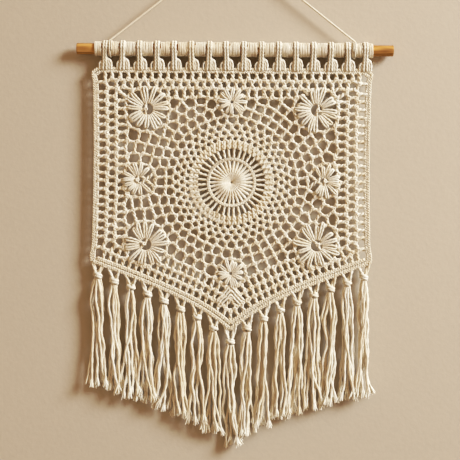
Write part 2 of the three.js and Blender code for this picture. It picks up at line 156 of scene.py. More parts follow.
# Undyed cotton: plied, matte, a little uneven in tone, with painted shade darkening the grooves between
# plies
cottonLook = {
    "pale": srgb(246, 238, 220), "plain": srgb(242, 231, 209), "warm": srgb(235, 219, 190),
    "groove": srgb(196, 170, 132), "grooveShare": 0.3, "toneScale": 55.0, "fibreScale": 900.0,
    "fibreWay": (1.4, 14.0), "toneShares": (0.7, 0.28, 0.3), "toneRange": (0.25, 0.85),
    "paleRange": (0.15, 0.6), "grooveRange": (0.55, 1.0), "plies": 3, "plyHeight": 0.00011,
    "fibreHeight": 0.00004, "bump": 0.7, "rough": (0.84, 0.96), "gloss": 0.2, "sheen": (0.15, 0.6),
}


def cottonMaterial(name, c):
    look = Look(name)
    place = look.place()
    shade = look.node("ShaderNodeAttribute", {"attribute_name": "shade"}, {}, 2)
    along, around = look.parts(look.node("ShaderNodeUVMap", {"uv_map": "yarn"}, {}))[:2]
    lengthways, across = c["fibreWay"]
    fibreWay = look.node("ShaderNodeCombineXYZ", {}, {0: along * lengthways, 1: around * across})
    ply = (around * (fullTurn * c["plies"])).cosine() * 0.5 + 0.5
    patches = look.noise(place, c["toneScale"], 3.0)
    specks = look.noise(place, c["fibreScale"], 2.0)
    fibres = look.noise(fibreWay, 1.0, 3.0, 0.6)
    byPatch, byStrand, byFibre = c["toneShares"]
    tone = (patches * byPatch + shade * byStrand + fibres * byFibre).between(*c["toneRange"])
    colour = look.mix(tone, c["warm"], c["plain"])
    colour = look.mix((tone * specks).between(*c["paleRange"]), colour, c["pale"])
    # painted shade: where the plies meet, the colour is mixed towards a darker one
    grooves = (1 - ply).between(*c["grooveRange"]) * c["grooveShare"]
    colour = look.mix(grooves, colour, c["groove"])
    height = ply * c["plyHeight"] + fibres * c["fibreHeight"]
    shader = look.node("ShaderNodeBsdfPrincipled", {}, {
        "Base Color": colour, "Roughness": patches.spread(*c["rough"]), "Specular IOR Level": c["gloss"],
        "Sheen Weight": c["sheen"][0], "Sheen Roughness": c["sheen"][1],
        "Normal": look.bump(c["bump"], height),
    })
    return look.finish(shader)


# Plain dowel: long grain along X, rings on the cut ends
woodLook = {
    "light": srgb(220, 172, 102), "mid": srgb(195, 142, 71), "dark": srgb(143, 91, 34), "midAt": 0.45,
    "grain": (9.0, 420.0, 420.0), "pores": (60.0, 1900.0, 1900.0), "bend": (14.0, 60.0, 60.0),
    "rings": 900.0, "ringBend": 9.0, "grainShare": 0.75, "ringShare": 0.35, "toneRange": (0.3, 0.85),
    "poreShare": 0.5, "poreRange": (0.58, 0.75), "pitRange": (0.55, 0.75),
    "pith": (0, 0.004, -0.113), "grainHeight": 0.00012, "bump": 0.5, "rough": (0.6, 0.78), "gloss": 0.3,
}


def woodMaterial(name, c):
    look = Look(name)
    place = look.place()
    axis = look.node("ShaderNodeVectorMath", {"operation": "SUBTRACT"}, {0: place, 1: c["pith"]})
    grain = look.noise(look.stretched(place, c["grain"]), 1.0, 4.0, 0.55)
    pores = look.noise(look.stretched(place, c["pores"]), 1.0, 2.0)
    bent = look.noise(look.stretched(place, c["bend"]), 1.0, 2.0)
    outward = look.stretched(axis, (0.0, 1.0, 1.0))
    across = look.node("ShaderNodeVectorMath", {"operation": "LENGTH"}, {0: outward}, 1)
    rings = ((across * c["rings"] + bent * c["ringBend"]) * fullTurn * 0.5).cosine() * 0.5 + 0.5
    tone = (grain * c["grainShare"] + rings * c["ringShare"]).between(*c["toneRange"])
    colour = look.mix(tone.between(0.0, c["midAt"]), c["dark"], c["mid"])
    colour = look.mix(tone.between(c["midAt"], 1.0), colour, c["light"])
    colour = look.mix(pores.between(*c["poreRange"]) * c["poreShare"], colour, c["dark"])
    height = grain * c["grainHeight"] - pores.between(*c["pitRange"]) * c["grainHeight"]
    shader = look.node("ShaderNodeBsdfPrincipled", {}, {
        "Base Color": colour, "Roughness": grain.spread(*c["rough"]), "Specular IOR Level": c["gloss"],
        "Normal": look.bump(c["bump"], height),
    })
    return look.finish(shader)


panelCotton = cottonMaterial("panel cotton", cottonLook)
tasselCotton = cottonMaterial("tassel cotton", {**cottonLook, "toneScale": 30.0})
stringCotton = cottonMaterial("string cotton", {**cottonLook, "plyHeight": 0.0001})
rodWood = woodMaterial("rod wood", woodLook)
print("materials made")


# A skein gathers strands and joins them into one mesh; fine fibres have fewer sides and no ply
yarn = {"sides": 6, "lobes": 3, "depth": 0.1, "pitch": 15.0, "uvScale": 0.1, "plainWidth": 100}


def unit(vectors):
    return vectors / np.maximum(np.linalg.norm(vectors, axis=-1, keepdims=True), 1e-9)


def tangents(path, closed):
    return unit(np.roll(path, -1, 0) - np.roll(path, 1, 0) if closed else np.gradient(path, axis=0))


def lengthsAlong(path):
    return np.concatenate([[0.0], np.cumsum(np.linalg.norm(np.diff(path, axis=0), axis=1))])


class Skein:
    def __init__(self):
        self.points, self.quads, self.uvs, self.shades = [], [], [], []
        self.count = 0

    def strand(self, path, radius, ref=acrossY, shade=0.0, closed=False, sides=yarn["sides"],
               pitch=yarn["pitch"]):
        path = np.asarray(path, float)
        rings = len(path)
        tangent = tangents(path, closed)
        side = unit(np.cross(tangent, ref))
        up = np.cross(side, tangent)
        along = lengthsAlong(path)
        turn = np.zeros(rings) if closed else fullTurn * along / pitch
        corner = fullTurn * np.arange(sides) / sides
        angle = (corner[None, :] + turn[:, None])[..., None]
        lobed = yarn["depth"] * np.cos(yarn["lobes"] * corner) if sides == yarn["sides"] else 0 * corner
        swell = np.broadcast_to(np.asarray(radius, float), (rings,))[:, None]
        swell = (swell * (1 + lobed))[..., None]
        ring = path[:, None] + swell * (np.cos(angle) * side[:, None] + np.sin(angle) * up[:, None])
        self.addSides(rings, sides, along, closed)
        if not closed:
            self.addEnds(rings, sides, along)
            ring = np.concatenate([ring, ring[:1], ring[-1:]])
        self.points.append(ring.reshape(-1, 3))
        self.shades.append(np.full(ring.shape[0] * sides, shade))
        self.count += ring.shape[0] * sides

    def addSides(self, rings, sides, along, closed):
        i = np.repeat(np.arange(rings if closed else rings - 1), sides)
        j = np.tile(np.arange(sides), len(i) // sides)
        after, beside = (i + 1) % rings, (j + 1) % sides
        corners = [i * sides + j, after * sides + j, after * sides + beside, i * sides + beside]
        self.quads.append(np.stack(corners, 1) + self.count)
        here, there = along[i], np.where(after > i, along[after], along[i] + 1.0)
        u = np.stack([here, there, there, here], 1) * yarn["uvScale"]
        v = np.stack([j, j, j + 1, j + 1], 1) / (sides if sides == yarn["sides"] else yarn["plainWidth"])
        self.uvs.append(np.stack([u, v], 2))

    def addEnds(self, rings, sides, along):
        # caps have corners of their own, so the sides keep their shading
        for first, place, flip in ((rings * sides, 0.0, 1), ((rings + 1) * sides, along[-1], -1)):
            for k in range(1, sides - 2, 2):
                corners = np.array([0, k, k + 1, k + 2])[::flip]
                self.quads.append((corners + first + self.count)[None])
                self.uvs.append(np.stack([np.full(4, place * yarn["uvScale"]), corners / sides], 1)[None])

    def piece(self, name, material, slot, nodes=()):
        points = (np.concatenate(self.points) * mm).astype(np.float32)
        quads = np.concatenate(self.quads).astype(np.int32)
        uvs = np.concatenate(self.uvs).astype(np.float32)
        shades = np.concatenate(self.shades).astype(np.float32)
        mesh = bpy.data.meshes.new(name)
        mesh.vertices.add(len(points))
        mesh.vertices.foreach_set("co", points.ravel())
        mesh.loops.add(quads.size)
        mesh.loops.foreach_set("vertex_index", quads.ravel())
        mesh.polygons.add(len(quads))
        mesh.polygons.foreach_set("loop_start", np.arange(0, quads.size, 4, dtype=np.int32))
        mesh.uv_layers.new(name="yarn").data.foreach_set("uv", uvs.ravel())
        mesh.attributes.new("shade", "FLOAT", "POINT").data.foreach_set("value", shades)
        mesh.update(calc_edges=True)
        mesh.shade_smooth()
        mesh.materials.append(material)
        made = addObject(name, mesh)
        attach(made, "root")
        if nodes:
            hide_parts(*nodes)
        print(name, 2 * len(quads), "triangles")
        return made


# How strands lie together in ropes and plaits
lay = {
    "step": 1.5, "perSpan": 12, "pitch": 11.0, "opening": 0.3, "flat": 0.9, "ropeTone": 0.3,
    "plaitTone": 0.5,
}
rng = np.random.default_rng(71)


def plusMinus(most, count=None):
    return rng.uniform(-most, most, count)


def within(span):
    return rng.uniform(*span)


def numbered(word, count):
    return ["%s_%02d" % (word, i + 1) for i in range(count)]


def evenly(points, step):
    far = lengthsAlong(points)
    places = np.linspace(0, far[-1], max(3, int(round(far[-1] / step)) + 1))
    return np.stack([np.interp(places, far, points[:, k]) for k in range(3)], 1)


def smoothed(points, step):
    # even steps along a rounded line through the points
    points = np.asarray(points, float)
    ends = np.vstack([2 * points[0] - points[1], points, 2 * points[-1] - points[-2]])
    t = np.linspace(0, 1, lay["perSpan"], endpoint=False)[:, None]
    fine = []
    for a, b, c, d in zip(ends, ends[1:], ends[2:], ends[3:]):
        square, cube = 2 * a - 5 * b + 4 * c - d, 3 * b - a - 3 * c + d
        fine.append(0.5 * (2 * b + (c - a) * t + square * t ** 2 + cube * t ** 3))
    return evenly(np.vstack(fine + [points[-1:]]), step)


def rope(skein, start, end, radius, offset, strands=2, pitch=lay["pitch"], bow=0.0):
    # strands turned about each other, flatter than round, opening into the knots at both ends
    start, end = np.asarray(start, float), np.asarray(end, float)
    long = np.linalg.norm(end - start)
    s = np.linspace(0, 1, max(4, int(round(long / lay["step"])) + 1))[:, None]
    way = (end - start) / long
    side = unit(np.cross(way, acrossY))
    up = np.cross(side, way)
    middle = start + (end - start) * s + bow * 4 * s * (1 - s) * side
    turn = fullTurn * long / pitch * s + rng.uniform(0, fullTurn)
    wide = offset * (1 + lay["opening"] * (2 * s - 1) ** 2)
    tone = plusMinus(1)
    for k in fullTurn * np.arange(strands) / strands:
        path = middle + wide * (np.cos(turn + k) * side + lay["flat"] * np.sin(turn + k) * up)
        skein.strand(path, radius, shade=tone + plusMinus(lay["ropeTone"]))


def braid(skein, line, period, wide, deep, radius, closed=False):
    # three strands plaited flat along a line
    side = unit(np.cross(tangents(line, closed), acrossY))
    far = lengthsAlong(line)
    whole = far[-1] + (np.linalg.norm(line[0] - line[-1]) if closed else 0.0)
    turns = max(1, round(whole / period))
    for k in range(3):
        angle = fullTurn * (far / whole * turns + k / 3)[:, None]
        path = line + wide * np.sin(angle) * side - deep * np.sin(2 * angle) * np.array([acrossY])
        skein.strand(path, radius, shade=plusMinus(lay["plaitTone"]), closed=closed)


# Hanging cord: the same route as in the solids, with a turn round the rod at both ends
cordSetup = {
    "radius": 1.1, "step": 1.0, "twist": 5.0, "length": 0.342, "rodZ": -113.0,
    "tieRadius": 8.7, "tieTurns": 1.3, "tiePitch": 1.9844, "tieSteps": 40,
}
cordHalf = [
    (-0.135, 0, -0.10355), (-0.110, 0, -0.08395), (-0.085, 0, -0.06425), (-0.060, 0, -0.04455),
    (-0.035, 0, -0.02485), (-0.015, 0, -0.00915), (-0.006, 0, -0.00205), (-0.003, 0, 0.00025),
]
cordRoute = cordHalf + [(0, 0, 0.0011)] + [(-x, y, z) for x, y, z in reversed(cordHalf)]


def makeCord(c):
    line = smoothed(np.array(cordRoute) / mm, c["step"])
    skein = Skein()
    skein.strand(line, c["radius"], pitch=c["twist"])
    cord = skein.piece("hangingCord", stringCotton, "cord", ["hanging_cord"])
    ties = Skein()
    turn = np.linspace(0, fullTurn * c["tieTurns"], c["tieSteps"])
    for end, tail in ((line[0], 1), (line[-1], -1)):
        x = end[0] + tail * c["tiePitch"] * turn / fullTurn
        path = np.stack([x, -c["tieRadius"] * np.sin(turn), c["rodZ"] + c["tieRadius"] * np.cos(turn)], 1)
        ties.strand(path, c["radius"], acrossX, pitch=c["twist"])
    tied = ties.piece("cordTies", stringCotton, "cord")


makeCord(cordSetup)
print("cord hung")


# Panel outline and drape, the same sizes as the solids
panelSize = {
    "top": -133.0, "halfWidth": 153.6, "side": 215.0, "point": 75.0, "edging": 5.5, "pointShare": 1.5,
}
drawnIn = {
    "side": 1.9, "flare": 1.8, "corner": 4.5, "straight": 0.72, "bow": 0.12, "pull": 0.16, "power": 6,
}
panelTop, halfWide = panelSize["top"], panelSize["halfWidth"]
drape = {"height": 1.5, "across": 47.0, "start": 0.8, "waves": 1.3}
handwork = {"step": 12.9898, "start": 4.1414, "scale": 437.5453}


def sideX(z):
    down = np.clip((panelTop - z) / panelSize["side"], 0, 1)
    return halfWide - drawnIn["side"] * np.sin(math.pi * down)


def lowerEdge(x):
    s = 1 - abs(x) / halfWide
    drop = drawnIn["straight"] * s + drawnIn["bow"] * s ** 2 + drawnIn["pull"] * s ** drawnIn["power"]
    return panelTop - panelSize["side"] - panelSize["point"] * drop


def lowerSlope(x):
    s = 1 - abs(x) / halfWide
    pull = drawnIn["pull"] * drawnIn["power"] * s ** (drawnIn["power"] - 1)
    steep = drawnIn["straight"] + 2 * drawnIn["bow"] * s + pull
    return panelSize["point"] / halfWide * steep


def lowerRow(x, inset):
    return lowerEdge(x) + inset * np.hypot(1, lowerSlope(x))


def drapeAt(x, z):
    down = (panelTop - z) / (panelSize["side"] + panelSize["point"])
    across = np.sin(x / drape["across"] + drape["start"])
    return drape["height"] * across * np.sin(math.pi * drape["waves"] * down)


def onPanel(x, z, y=0.0):
    x, z = np.asarray(x, float), np.asarray(z, float)
    return np.stack([x, drapeAt(x, z) + y, z], -1)


def uneven(n):
    # the same unevenness as in the solids, between -1 and 1
    s = math.sin(n * handwork["step"] + handwork["start"]) * handwork["scale"]
    return 2 * (s - math.floor(s)) - 1


# Where the gaps of the net lie
border = {"pitch": 8.8, "pointPitch": 7.6, "apart": 0.75, "uneven": 0.35}
borderRows = [
    {"top": 10.0, "side": 10.2, "point": 11.6, "phase": 0.5},
    {"top": 18.6, "side": 20.0, "point": 20.6, "phase": 0.0},
    {"top": 27.0, "side": 30.2, "point": 29.4, "phase": 0.5},
]
medallion = {"z": -259.0, "rounds": [48.5, 54.5, 60.5, 67.5], "count": 40, "hub": 42.0}
ground = {
    "first": 76.0, "step": 10.4, "rounds": 10, "count": 46, "more": 3, "settle": 3, "apart": 7.9,
    "margin": 7.0, "reach": 13.0, "uneven": 0.5,
}
flowerKinds = {
    "large": {"radius": 22.5, "eye": 5.6, "petals": 16},
    "side": {"radius": 16.5, "eye": 3.8, "petals": 14, "open": 0.75},
    "small": {"radius": 13.5, "eye": 0, "petals": 12},
}
flowerPlaces = [
    ("large", -93, -179, 0.1), ("large", 93, -179, 2.8), ("large", -94, -328, 5.6), ("large", 94, -328, 3.7),
    ("side", -102, -257, 0.0), ("side", 102, -257, math.pi),
    ("small", 0, -170.5, 0.0), ("small", 0, -359, 0.0),
]
flowers = [{"x": x, "z": z, "turn": turn, **flowerKinds[kind]} for kind, x, z, turn in flowerPlaces]
flowerBed = {"inset": 4.0, "borderMargin": 3.0, "groundMargin": 4.0}


def ringPoints(x, z, radius, count, turn):
    angle = (np.arange(count) + turn) / count * fullTurn
    return list(zip(x + radius * np.cos(angle), z + radius * np.sin(angle)))


class Layout:
    def __init__(self):
        self.seeds = []
        self.putSolid()
        self.putBorder()
        for k, radius in enumerate(medallion["rounds"]):
            turn = 0.0 if k % 2 else 0.5
            ring = ringPoints(0, medallion["z"], radius, medallion["count"], turn)
            self.seeds += [[x, z, "round%d" % (k + 1)] for x, z in ring]
        self.putGround()
        for _ in range(ground["settle"]):
            moved = {i: self.middle(self.cell(i)) for i, s in enumerate(self.seeds) if s[2] == "ground"}
            for i, (x, z) in moved.items():
                self.seeds[i][:2] = x, z

    def free(self, x, z, margin, apart):
        inFlower = any(math.hypot(x - f["x"], z - f["z"]) < f["radius"] + margin for f in flowers)
        return not inFlower and all(math.hypot(x - s[0], z - s[1]) >= apart for s in self.seeds)

    def putSolid(self):
        ring = ringPoints(0, medallion["z"], medallion["hub"], medallion["count"], 0)
        self.seeds += [[x, z, "solid"] for x, z in ring]
        for f in flowers:
            bed = ringPoints(f["x"], f["z"], f["radius"] - flowerBed["inset"], f["petals"], 0.5)
            self.seeds += [[x, z, "solid"] for x, z in bed]
        outer = borderRows[0]
        for x in (outer["side"] - halfWide, halfWide - outer["side"]):
            self.seeds.append([x, panelTop - outer["top"], "solid"])
            self.seeds.append([x, lowerRow(x, outer["point"]), "solid"])

    def putPair(self, right, z, pitch, kind):
        for x in (right, -right):
            if self.free(x, z, flowerBed["borderMargin"], pitch * border["apart"]):
                self.seeds.append([*self.shifted(x, z, border["uneven"]), kind])

    def shifted(self, x, z, most):
        n = 2 * len(self.seeds)
        return x + most * uneven(n), z + most * uneven(n + 1)

    def putBorder(self):
        pitch, middle = border["pitch"], panelTop - panelSize["side"] / 2
        along = border["pointPitch"] / math.hypot(1, lowerSlope(halfWide / 2))
        for k, row in enumerate(borderRows):
            kind, low = "border%d" % (k + 1), "point%d" % (k + 1)
            half = halfWide - row["side"]
            for x in np.arange(row["phase"] * pitch, half, pitch):
                self.putPair(x, panelTop - row["top"], pitch, kind)
            for d in np.arange(row["phase"] * pitch, (panelSize["side"] - row["top"]) / 2, pitch):
                for z in (middle + d, middle - d):
                    self.putPair(sideX(z) - row["side"], z, pitch, kind)
            for x in np.arange(row["phase"] * along, half, along):
                self.putPair(x, lowerRow(x, row["point"]), along, low)

    def insideGround(self, x, z):
        row, margin = borderRows[-1], ground["margin"]
        low = lowerRow(min(abs(x), halfWide), row["point"] + margin)
        inSides = abs(x) < sideX(z) - row["side"] - margin
        return inSides and low < z < panelTop - row["top"] - margin

    def putGround(self):
        for k in range(ground["rounds"]):
            radius, count = ground["first"] + k * ground["step"], ground["count"] + k * ground["more"]
            for x, z in ringPoints(0, medallion["z"], radius, count, 0.5 * (k % 2)):
                x, z = self.shifted(x, z, ground["uneven"])
                free = self.free(x, z, flowerBed["groundMargin"], ground["apart"])
                if free and self.insideGround(x, z):
                    self.seeds.append([x, z, "ground"])

    def clip(self, cell, nx, nz, limit, label):
        kept = []
        for (ax, az, name), (bx, bz, _) in zip(cell, cell[1:] + cell[:1]):
            da, db = nx * ax + nz * az - limit, nx * bx + nz * bz - limit
            if da <= 0:
                kept.append((ax, az, name))
            if da * db < 0:
                t = da / (da - db)
                kept.append((ax + (bx - ax) * t, az + (bz - az) * t, label if da < 0 else name))
        return kept

    def cell(self, i):
        # corners around one gap, each with the number of the gap beyond its next side
        x, z = self.seeds[i][:2]
        reach, edge = ground["reach"], -1
        cell = [(x + a * reach, z + b * reach, edge) for a, b in ((-1, -1), (1, -1), (1, 1), (-1, 1))]
        places = np.array([s[:2] for s in self.seeds]) - (x, z)
        far = np.hypot(*places.T)
        for j in np.argsort(far)[1:]:
            if far[j] > 2 * reach:
                break
            dx, dz = places[j] / far[j]
            cell = self.clip(cell, dx, dz, dx * x + dz * z + far[j] / 2, int(j))
        inset = panelSize["edging"]
        slope = math.copysign(lowerSlope(x), x)
        long = math.hypot(1, slope)
        low = lowerRow(x, inset * panelSize["pointShare"])
        cell = self.clip(cell, slope / long, -1 / long, (slope * x - low) / long, edge)
        cell = self.clip(cell, 0, 1, panelTop - inset, edge)
        cell = self.clip(cell, 1, 0, sideX(z) - inset, edge)
        return self.clip(cell, -1, 0, sideX(z) - inset, edge)

    def middle(self, cell):
        x, z = np.array([c[:2] for c in cell]).T
        nextX, nextZ = np.roll(x, -1), np.roll(z, -1)
        cross = x * nextZ - nextX * z
        whole = 3 * cross.sum()
        return ((x + nextX) * cross).sum() / whole, ((z + nextZ) * cross).sum() / whole

    def bars(self):
        # each side between two gaps once: its two knots and the kinds of the gaps
        knots, bars = [], []
        for i, (_, _, kind) in enumerate(self.seeds):
            if kind == "solid":
                continue
            cell = self.cell(i)
            for (ax, az, j), (bx, bz, _) in zip(cell, cell[1:] + cell[:1]):
                if j < 0 or (self.seeds[j][2] != "solid" and j < i):
                    continue
                ends = [self.knotAt(knots, x, z) for x, z in ((ax, az), (bx, bz))]
                if ends[0] != ends[1]:
                    bars.append((*ends, kind, self.seeds[j][2]))
        return np.array(knots), bars

    def knotAt(self, knots, x, z):
        if knots:
            far = np.hypot(*(np.array(knots) - (x, z)).T)
            if far.min() < netYarn["merge"]:
                return int(far.argmin())
        knots.append((x, z))
        return len(knots) - 1


# Net: ropes between knots; radius and offset of the two strands by the kind of gap
netYarn = {
    "merge": 0.9, "jitter": 0.3, "depth": 0.25, "bow": 0.3, "intoEdge": 1.6, "edgeReach": 0.4,
    "ground": (1.36, 0.64), "border": (1.62, 0.8), "point": (1.52, 0.76), "round": (1.34, 0.66),
    "round1": (1.42, 0.74), "openKnot": (1.4, 1.15), "borderKnot": (1.8, 1.4), "knotSteps": 8,
    "knotLean": 0.35, "knotLift": 0.45, "knotTone": (-0.6, 0.8), "stub": 0.84, "stubLift": 0.2, "ring": 0.4,
}


def yarnFor(kinds):
    for word in ("round1", "ground", "round", "border", "point"):
        if any(k.startswith(word) for k in kinds):
            return word


def intoEdging(x, z):
    out, near = netYarn["intoEdge"], panelSize["edging"] + netYarn["edgeReach"]
    if panelTop - z < near:
        return x, z + out
    if sideX(z) - abs(x) < near:
        return x + math.copysign(out, x), z
    if z - lowerRow(abs(x), 0) < near * panelSize["pointShare"] * np.hypot(1, lowerSlope(x)):
        return x, z - out
    return x, z


def tieKnot(skein, middle, size, radius, tone):
    # a stitch head: one turn of yarn standing a little proud
    steps = netYarn["knotSteps"]
    turn = fullTurn * np.arange(steps) / steps + rng.uniform(0, fullTurn)
    lean = plusMinus(netYarn["knotLean"], 2)
    x, z = size * np.cos(turn), size * np.sin(turn)
    y = lean[0] * x + lean[1] * z - netYarn["knotLift"]
    skein.strand(middle + np.stack([x, y, z], 1), radius, shade=tone, closed=True)


def flowerBeside(knot):
    for f in flowers:
        if math.hypot(knot[0] - f["x"], knot[1] - f["z"]) < f["radius"] + netYarn["ring"]:
            return f


def aboutFlower(f, radius, angle, y):
    return onPanel(f["x"] + radius * math.cos(angle), f["z"] + radius * math.sin(angle), y)


def makeNet(c):
    knots, bars = Layout().bars()
    places = [intoEdging(x, z) for x, z in knots]
    moved = np.array(places) + plusMinus(1, (len(knots), 2)) * c["jitter"]
    points = onPanel(moved[:, 0], moved[:, 1], plusMinus(1, len(knots)) * c["depth"])
    skeins = {"open": Skein(), "border": Skein()}
    owner, tips = {}, {}
    for a, b, *kinds in bars:
        near = flowerBeside((knots[a] + knots[b]) / 2)
        if "solid" in kinds and near:
            tips[a] = tips[b] = near
            continue
        style = yarnFor(kinds)
        group = "border" if style in ("border", "point") else "open"
        owner.setdefault(a, group)
        owner.setdefault(b, group)
        rope(skeins[group], points[a], points[b], *c[style], bow=plusMinus(1) * c["bow"])
    for n, group in sorted(owner.items()):
        if places[n] == tuple(knots[n]):
            tieKnot(skeins[group], points[n], *c[group + "Knot"], within(c["knotTone"]))
    for n, f in sorted(tips.items()):
        angle = math.atan2(knots[n][1] - f["z"], knots[n][0] - f["x"])
        petal = aboutFlower(f, f["radius"] * c["stub"], angle, c["stubLift"])
        rope(skeins["open"], points[n], petal, *c["ground"])
    openNet = skeins["open"].piece("openNet", panelCotton, "yarn", ["panel"])
    eyelets = skeins["border"].piece("eyeletBorder", panelCotton, "yarn")
    return openNet, eyelets


openNet, eyeletBorder = makeNet(netYarn)


# Medallion: ribbed dish in a plaited collar, a round of posts, plaited rounds under rows of stitch heads
medallionYarn = {
    "dish": [(0.7, 1.2), (1.9, -0.5), (5.0, -1.3), (9.0, -1.8), (12.0, -2.0), (14.0, -1.7), (18.0, -0.9),
             (26.4, -0.5)],
    "ribs": 30, "ribSteps": 24, "ribYarn": (1.75, 1.45), "ribTaper": (16, 26), "ribTwist": 16.0,
    "ribFill": 1.6, "ribLeast": 0.05, "ribUneven": 0.12, "ribLean": 0.025, "leanFrom": 13,
    "ribTone": (-0.3, 0.9), "posts": 36, "post": (27.6, 37.6), "postYarn": (1.2, 0.36), "postLift": -0.9,
    "postUneven": 0.02,
    "plaits": [(39.2, 0.1), (42.0, 0.4), (44.6, 0.4)], "plait": (7.5, 1.15, 0.6, 0.95), "plaitStep": 0.95,
    "collar": (25.6, -1.0), "collarPlait": (4.5, 1.2, 0.9, 1.0), "headYarn": (1.5, 0.05, 1), "headTilt": 0.3,
    "heads": [(37.0, 41.4, -1.5, 42, 0.26), (41.0, 46.2, -1.2, 46, 0.26)],
}


def spoke(radius, angle, y):
    return onPanel(radius * np.cos(angle), medallion["z"] + radius * np.sin(angle), y)


def plaitRound(skein, ring, y, plait, step):
    count = int(round(fullTurn * ring / step))
    braid(skein, spoke(ring, fullTurn * np.arange(count) / count, y), *plait, closed=True)


def makeMedallion(c):
    skein = Skein()
    radii, heights = np.array(c["dish"]).T
    fine = np.linspace(radii[0], radii[-1], c["ribSteps"])
    room = c["ribFill"] * math.pi * fine / c["ribs"] + c["ribLeast"]
    swell = np.minimum(np.interp(fine, c["ribTaper"], c["ribYarn"]), room)
    for angle in fullTurn * np.arange(c["ribs"]) / c["ribs"]:
        y = np.interp(fine, radii, heights) + plusMinus(c["ribUneven"])
        lean = plusMinus(c["ribLean"]) * np.clip(fine / c["leanFrom"] - 1, 0, 1)
        tone = within(c["ribTone"])
        skein.strand(spoke(fine, angle + lean, y), swell, shade=tone, pitch=c["ribTwist"])
    inner, outer = c["post"]
    for n in range(c["posts"]):
        angle = (n + 0.5) * fullTurn / c["posts"]
        end = spoke(outer, angle + plusMinus(c["postUneven"]), c["postLift"])
        rope(skein, spoke(inner, angle, c["postLift"]), end, *c["postYarn"])
    plaitRound(skein, *c["collar"], c["collarPlait"], c["plaitStep"])
    for ring, y in c["plaits"]:
        plaitRound(skein, ring, y, c["plait"], c["plaitStep"])
    for inner, outer, y, count, wide in c["heads"]:
        for n in range(count):
            for lean in (-wide, wide):
                end = spoke(outer, (n + lean) * fullTurn / count, y + c["headTilt"])
                rope(skein, spoke(inner, n * fullTurn / count, y), end, *c["headYarn"])
    return skein.piece("medallion", panelCotton, "yarn")


medallionPiece = makeMedallion(medallionYarn)


# Flowers: uneven petal loops about an eye with crossing strands; the side ones open towards the medallion
flowerYarn = {
    "petal": 1.22, "share": 0.85, "crowd": 0.75, "unevenWidth": (0.85, 1.15), "base": -0.5, "lift": 2.5,
    "unevenLift": (0.7, 1.2), "root": 1.5, "heart": 2.0, "reach": (0.94, 1.18), "lean": 0.15,
    "unevenTurn": 0.24, "widest": 0.42, "tipPower": 0.9, "narrow": 0.35, "parted": 0.25, "riseFrom": 0.08,
    "risePower": 0.8, "places": 15, "step": 1.15, "petalTone": (-0.2, 1.0),
    "eyeGrow": 1.5, "ring": 0.85, "ringSteps": 5, "ringLift": -0.3, "ringTone": 0.3, "knotTone": 0.6,
    "crossing": (1.1, 0.6), "turns": (-1.35, 0.0, 1.35), "crossAt": 0.22, "crossLift": (-1.6, -0.8),
    "crossUneven": 0.25, "openYarn": (1.2, 0.85), "openReach": 2.5, "openTurn": (1.2, 0.42),
    "openLift": (-0.9, -0.4),
}


def petalLoop(skein, f, angle, c):
    root = max(f["eye"] + c["root"], c["heart"])
    tip = f["radius"] * within(c["reach"])
    room = math.pi * c["crowd"] * f["radius"] / f["petals"] - c["petal"]
    half = c["share"] * within(c["unevenWidth"]) * room
    lift = c["lift"] * within(c["unevenLift"])
    t = np.linspace(0, 1, c["places"])
    reach = root + (tip - root) * np.sin(t * math.pi / 2)
    pastWidest = np.clip((t - c["widest"]) / (1 - c["widest"]), 0, 1)
    rounded = np.cos(pastWidest * math.pi / 2) ** c["tipPower"]
    opened = c["narrow"] + (1 - c["narrow"]) * (reach - root) / (tip - root)
    wide = half * rounded * opened + c["parted"] * (1 - t)
    humped = np.sin(math.pi * np.minimum(t * (1 - c["riseFrom"]) + c["riseFrom"], 1))
    rise = c["base"] - lift * humped ** c["risePower"]
    turned = angle + plusMinus(1) * c["lean"] * t
    way = np.stack([np.cos(turned), np.sin(turned)], 1)
    across = wide[:, None] * np.stack([-way[:, 1], way[:, 0]], 1)
    middle = np.array([f["x"], f["z"]]) + reach[:, None] * way
    x, z = np.vstack([middle + across, (middle - across)[-2::-1]]).T
    path = evenly(onPanel(x, z, np.concatenate([rise, rise[-2::-1]])), c["step"])
    skein.strand(path, c["petal"], shade=within(c["petalTone"]))


def flowerEye(skein, f, c):
    eye, back = f["eye"] + c["eyeGrow"], f["turn"] + math.pi
    x, z = np.array(ringPoints(f["x"], f["z"], eye, int(eye * c["ringSteps"]), 0)).T
    skein.strand(onPanel(x, z, c["ringLift"]), c["ring"], shade=c["ringTone"], closed=True)
    middle = aboutFlower(f, c["crossAt"] * eye, back, c["crossLift"][0])
    for turn in c["turns"]:
        angle = back + turn + plusMinus(c["crossUneven"])
        rope(skein, middle, aboutFlower(f, eye, angle, c["crossLift"][1]), *c["crossing"])
    tieKnot(skein, middle, *netYarn["openKnot"], c["knotTone"])


def openSide(skein, f, c):
    # two strands cross where petals are left out
    (nearTurn, farTurn), (nearLift, farLift) = c["openTurn"], c["openLift"]
    for side in (-1, 1):
        start = aboutFlower(f, f["eye"] + c["eyeGrow"], f["turn"] + side * nearTurn, nearLift)
        end = aboutFlower(f, f["radius"] + c["openReach"], f["turn"] - side * farTurn, farLift)
        rope(skein, start, end, *c["openYarn"])


def makeFlowers(c):
    skein = Skein()
    for f in flowers:
        for n in range(f["petals"]):
            angle = (n + plusMinus(c["unevenTurn"])) / f["petals"] * fullTurn
            if "open" not in f or math.cos(angle - f["turn"]) < math.cos(f["open"]):
                petalLoop(skein, f, angle, c)
        if f["eye"]:
            flowerEye(skein, f, c)
        if "open" in f:
            openSide(skein, f, c)
    return skein.piece("flowers", panelCotton, "yarn")


flowerPiece = makeFlowers(flowerYarn)


